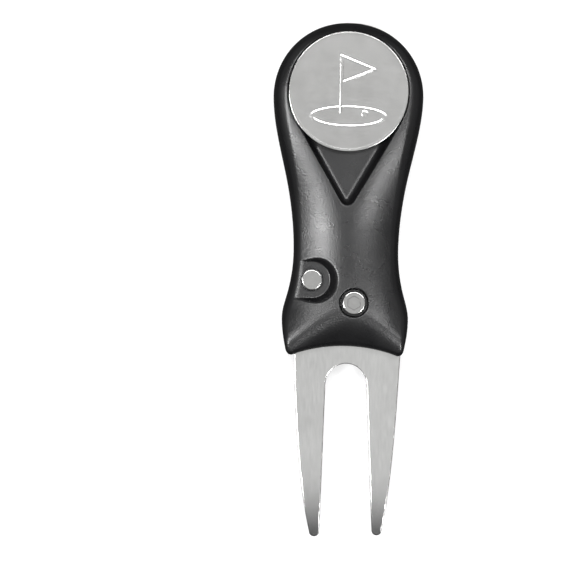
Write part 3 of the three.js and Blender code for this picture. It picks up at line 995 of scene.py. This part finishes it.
TURNED_EDGE = 0.22
BUTTON_STEM = 0.85
BUTTON_HEAD = 2.15
BUTTON_HEAD_LOW = 8.4
TOOL_MARK_DEPTH = 0.004
TOOL_MARK_PITCH = 0.37
SCREW_SHANK = 1.2
SCREW_HEAD = 2.4
SCREW_HEAD_LOW = 9.25
SOCKET_ACROSS_FLATS = 2.5
SOCKET_DEPTH = 0.8
SOCKET_CHAMFER = 0.08
THREAD_DEPTH = 0.14
THREAD_PITCH = 0.45
THREAD_END = 8.4
SLEEVE_HEAD = (3.0, 0.2, 1.0)
SLEEVE_BARREL = (1.5, 0.6, 8.9)
SLEEVE_THREAD = (1.26, 1.6)
CASE_SCREW_HEAD = (2.0, 0.35, 1.55)
CASE_SCREW_SHANK = (1.1, 1.2, 7.9)
CROSS_REACH = 1.15
CROSS_HALF_WIDTH = 0.26
CROSS_DRAFT = 0.35
CROSS_FLOOR = 1.1
PLATE_ENDS = (2.5, 1.5)
PLATE_HOLES = (0.93, 1.06)
SMALL_STEP = 0.12


def rounded_profile(radius, low, high, edge):
    """Half of a turned pin's outline, from its lower to its upper face, edges softened."""
    steps = np.radians([0, 22, 45, 67, 90])
    inner = radius - edge - 0.04
    lower = [(radius - edge + edge * math.sin(a), low + edge - edge * math.cos(a)) for a in steps]
    upper = [(radius - edge + edge * math.cos(a), high - edge + edge * math.sin(a)) for a in steps]
    return [(inner, low)] + lower + upper + [(inner, high)]


def build_button():
    """A stem and a round head, its face marked with fine rings by the turning tool."""
    low, high = heights("release_button")
    rings = [(BUTTON_STEM, low), (BUTTON_STEM, BUTTON_HEAD_LOW)]
    rings += rounded_profile(BUTTON_HEAD, BUTTON_HEAD_LOW, high, TURNED_EDGE)
    for r in np.linspace(1.88, 0.12, 60):
        rings.append((r, high - 0.005 + TOOL_MARK_DEPTH * math.cos(2 * math.pi * r / TOOL_MARK_PITCH)))
    return add_piece("turned_button", *loft(BUTTON, rings), sharp=40)


def hexagon(across_flats):
    """Radius of a hexagon as a function of angle."""
    def reach(angles):
        part = (angles + math.pi / 6) % (math.pi / 3) - math.pi / 6
        return across_flats / 2 / np.cos(part)
    return reach


def thread_rings(low, high):
    """Shallow grooves down a shank, one at each pitch."""
    crest, root = SCREW_SHANK, SCREW_SHANK - THREAD_DEPTH
    rings = []
    depth = low
    while depth < high:
        rings += [(crest, depth), (root, depth + 0.16), (root, depth + 0.22), (crest, depth + 0.38)]
        depth += THREAD_PITCH
    return rings


def build_pivot_screw():
    """A threaded shank and a round head with a hexagonal socket."""
    low, high = heights("pivot_screw")
    rings = [(0.9, low), (SCREW_SHANK, low + 0.3)]
    rings += thread_rings(low + 0.5, THREAD_END)
    rings.append((SCREW_SHANK, 9.2))
    rings += rounded_profile(SCREW_HEAD, SCREW_HEAD_LOW, high, TURNED_EDGE)
    rings += [(SCREW_HEAD - 0.26, high), (SCREW_HEAD - 0.4, high), (1.5, high)]
    socket = hexagon(SOCKET_ACROSS_FLATS)
    rings.append((hexagon(SOCKET_ACROSS_FLATS + 2 * SOCKET_CHAMFER), high))
    rings.append((socket, high - SOCKET_CHAMFER))
    floor = high - SOCKET_DEPTH
    rings += [(socket, floor), (0.9, floor), (0.2, floor)]
    return add_piece("hex_socket_screw", *loft(PIVOT, rings, 120), sharp=35)


def pin(name, centre, radius, low, high, edge):
    """A plain round pin with rounded ends."""
    return add_piece(name, *loft(centre, rounded_profile(radius, low, high, edge)), sharp=40)


def sleeve_field(x, y, z):
    """The barrel nut: a slotted head and a threaded barrel, hollow from its top."""
    slot = np.maximum(np.abs(y - PIVOT[1]) - 0.4, z - 0.6)
    head = bore(x, y, z, PIVOT, *SLEEVE_HEAD, 0.2)
    body = np.minimum(head, bore(x, y, z, PIVOT, *SLEEVE_BARREL, 0.1))
    body = np.maximum(body, -bore(x, y, z, PIVOT, *SLEEVE_THREAD, ABOVE, 0.1))
    return smooth_max(body, -slot, 0.08)


def screw_field(centre):
    """A case screw with a cross recess that narrows as it goes in."""
    def field(x, y, z):
        head = bore(x, y, z, centre, *CASE_SCREW_HEAD, 0.4)
        shank = bore(x, y, z, centre, *CASE_SCREW_SHANK, 0.4)
        across = np.abs(x - centre[0])
        along = np.abs(y - centre[1])
        arms = np.minimum(
            np.maximum(across - CROSS_REACH, along - CROSS_HALF_WIDTH),
            np.maximum(along - CROSS_REACH, across - CROSS_HALF_WIDTH))
        recess = np.maximum(arms + CROSS_DRAFT * (z - CASE_SCREW_HEAD[1]), z - CROSS_FLOOR)
        return smooth_max(np.minimum(head, shank), -recess, 0.08)
    return field


def plate_field(x, y, z):
    """The stamped plate from the button to the lock pin, with a hole for each."""
    low, high = heights("lock_plate")
    plan = belt(x, y, BUTTON, PLATE_ENDS[0], LOCK, PLATE_ENDS[1])
    plan = np.maximum(plan, -disc(x, y, BUTTON, PLATE_HOLES[0]))
    plan = np.maximum(plan, -disc(x, y, LOCK, PLATE_HOLES[1]))
    return rounded_corner(plan, np.abs(z - (low + high) / 2) - (high - low) / 2, 0.1)


def around(centre, reach, low, high):
    """Two corners of a box about an upright axis."""
    return (centre[0] - reach, centre[1] - reach, low), (centre[0] + reach, centre[1] + reach, high)


stand_in(build_button(), "release_button", "push_button", turned_steel("turned_button_steel", BUTTON))
stand_in(build_pivot_screw(), "pivot_screw", "handle",
         turned_steel("screw_steel", PIVOT, (0.6, 0.6, 0.59)))
stand_in(field_piece("sleeve_nut", sleeve_field, *around(PIVOT, 3.05, 0.15, 8.95), SMALL_STEP),
         "pivot_sleeve", "handle", turned_steel("nut_steel", PIVOT))
stand_in(field_piece("rivet_plate", plate_field, (-9.8, -41.6, 7.5), (-0.9, -35.8, 8.45), SMALL_STEP),
         "lock_plate", "push_button", SPRING)
for k, centre in enumerate(SCREWS, 1):
    corners = around(centre, 2.05, 0.3, 7.95)
    piece = field_piece(f"cross_screw_{k}", screw_field(centre), *corners, SMALL_STEP)
    stand_in(piece, f"case_screw_{k}", "handle", SPRING)
stand_in(pin("lock_pin_dowel", LOCK, 1.0, *heights("lock_pin"), 0.15),
         "lock_pin", "push_button", SPRING)
stand_in(pin("magnet_disc", MARKER, 5.0, *heights("marker_magnet"), 0.2), "marker_magnet", "handle",
         turned_steel("magnet_plate", MARKER, (0.6, 0.59, 0.57)))
RINGS = [
    ("bush_ring", "pivot_bush", 1.6, 2.5, BRASS),
    ("front_washer_ring", "front_washer", 2.65, 4.2, NYLON),
    ("back_washer_ring", "back_washer", 7.5, 8.8, NYLON),
]
for name, node, inner, outer, material in RINGS:
    form = tube_ring(PIVOT, inner, outer, *heights(node))
    stand_in(add_piece(name, *form, sharp=50), node, "handle", material)

# ---- Springs ----


def coil(centre, radius, low, high, turns, start):
    """Points along a helix that climbs from low to high."""
    steps = int(turns * 36)
    path = []
    for k in range(steps + 1):
        part = k / steps
        a = math.radians(start + 360 * turns * part)
        x = centre[0] + radius * math.cos(a)
        y = centre[1] + radius * math.sin(a)
        path.append((x, y, low + (high - low) * part))
    return path


def build_torsion_spring():
    """A coil round the bush, with one arm in the back shell's groove and one end up into the fork."""
    low, high = TORSION_HEIGHTS
    body = coil(PIVOT, TORSION_RADIUS, low, high, TORSION_TURNS, TORSION_START)
    arm = []
    for far in (3.0, 2.0, 1.0, 0.4):
        arm.append((*arc(PIVOT, TORSION_RADIUS + far, TORSION_START, 0, 1)[0], low))
    post = [(*body[-1][:2], high + rise) for rise in (0.25, 0.8, 1.3, 1.85)]
    return add_piece("torsion_coil", *wire(arm + body[1:] + post, TORSION_WIRE), sharp=60)


torsion = build_torsion_spring()
stand_in(torsion, "torsion_spring", None, SPRING)
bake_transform(torsion)

button_path = coil(LOCK, 1.0, *BUTTON_COIL_HEIGHTS, 4, 0)
button_coil = add_piece("button_coil", *wire(button_path, BUTTON_WIRE), sharp=60)
stand_in(button_coil, "button_spring", "handle", SPRING)
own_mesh(button_coil)

# ---- Floor, light and camera ----

CAMERA_LENS = 300.0
CAMERA_SENSOR = 36.0
FRAME_WIDTH = 118.0
FOCUS_HEIGHT = 7.0
FRAME_ROLL = 0.92
HEAD_IN_FRAME = (13.89, 38.70)


def add_floor():
    """A pale sweep. Only the camera sees how pale it is, so it doesn't wash out the dark edges."""
    reach = 4.0
    corners = [(-reach, -reach, 0), (reach, -reach, 0), (reach, reach, 0), (-reach, reach, 0)]
    mesh = bpy.data.meshes.new("floor")
    mesh.from_pydata(corners, [], [(0, 1, 2, 3)])
    floor = bpy.data.objects.new("floor", mesh)
    bpy.context.scene.collection.objects.link(floor)
    floor.location.z = -0.0001
    material, tree, shader = new_material("pale_floor", (0.05, 0.05, 0.05), 0.9, 0.0, 0.0)
    pale = add_node(tree, "ShaderNodeBsdfDiffuse", {"Color": (0.45, 0.45, 0.45, 1)})
    glow = add_node(tree, "ShaderNodeEmission", {"Strength": 0.6})
    both = add_node(tree, "ShaderNodeAddShader", {0: pale.outputs[0], 1: glow.outputs[0]})
    seen = add_node(tree, "ShaderNodeLightPath").outputs["Is Camera Ray"]
    mix = add_node(tree, "ShaderNodeMixShader", {0: seen, 1: shader.outputs[0], 2: both.outputs[0]})
    tree.links.new(mix.outputs[0], tree.nodes["Material Output"].inputs["Surface"])
    mesh.materials.append(material)


def add_panel(name, across, up, distance, size, radiance):
    """A softbox that a level surface would mirror at these angles from straight up."""
    data = bpy.data.lights.new(name, "AREA")
    data.shape = "RECTANGLE"
    data.size, data.size_y = size
    data.energy = radiance * math.pi * size[0] * size[1]
    light = bpy.data.objects.new(name, data)
    bpy.context.scene.collection.objects.link(light)
    heading = Vector((math.tan(math.radians(across)), math.tan(math.radians(up)), 1)).normalized()
    light.location = heading * distance
    light.rotation_euler = heading.to_track_quat("Z", "Y").to_euler()


def add_world():
    """Walls that the tool reflects as dim, dimmest beyond its tips, and the camera sees as pale."""
    world = bpy.data.worlds.new("studio")
    bpy.context.scene.world = world
    world.use_nodes = True
    tree = world.node_tree
    seen = add_node(tree, "ShaderNodeLightPath").outputs["Is Camera Ray"]
    direction = add_node(tree, "ShaderNodeTexCoord").outputs["Generated"]
    toward_tip = add_node(tree, "ShaderNodeSeparateXYZ", {"Vector": direction}).outputs["Y"]
    walls = add_node(tree, "ShaderNodeMapRange", {
        "Value": toward_tip, "From Min": -0.92, "From Max": -0.6, "To Min": 0.03, "To Max": 0.3})
    shade = add_node(tree, "ShaderNodeMapRange", {
        "Value": seen, "To Min": walls.outputs["Result"], "To Max": 0.9})
    tree.links.new(shade.outputs["Result"], tree.nodes["Background"].inputs["Color"])


def add_camera():
    """Straight above, a little rolled, with a long lens and the tool right of the middle."""
    data = bpy.data.cameras.new("camera")
    data.lens = CAMERA_LENS
    data.sensor_width = CAMERA_SENSOR
    data.clip_start = 0.01
    data.clip_end = 20
    camera = bpy.data.objects.new("camera", data)
    bpy.context.scene.collection.objects.link(camera)
    roll = math.radians(FRAME_ROLL)
    right, up = HEAD_IN_FRAME
    x = -(right * math.cos(roll) - up * math.sin(roll))
    y = HEAD_Y - (right * math.sin(roll) + up * math.cos(roll))
    distance = FRAME_WIDTH * CAMERA_LENS / CAMERA_SENSOR
    camera.location = (x * MM, y * MM, (distance + FOCUS_HEIGHT) * MM)
    camera.rotation_euler = (0, 0, roll)
    bpy.context.scene.camera = camera


add_floor()
add_world()
add_panel("overhead", 0, 0, 1.6, (0.9, 0.9), 0.31)
add_panel("left_key", -25, -5, 1.2, (0.24, 0.34), 31)
add_panel("right_key", 20, -18, 1.2, (0.26, 0.26), 28)
add_panel("top_key", 2, 19, 1.2, (1.15, 0.2), 14)
add_panel("left_fill", -48, 0, 1.2, (0.4, 0.8), 1.0)
add_camera()
bpy.context.scene.view_settings.view_transform = "Standard"
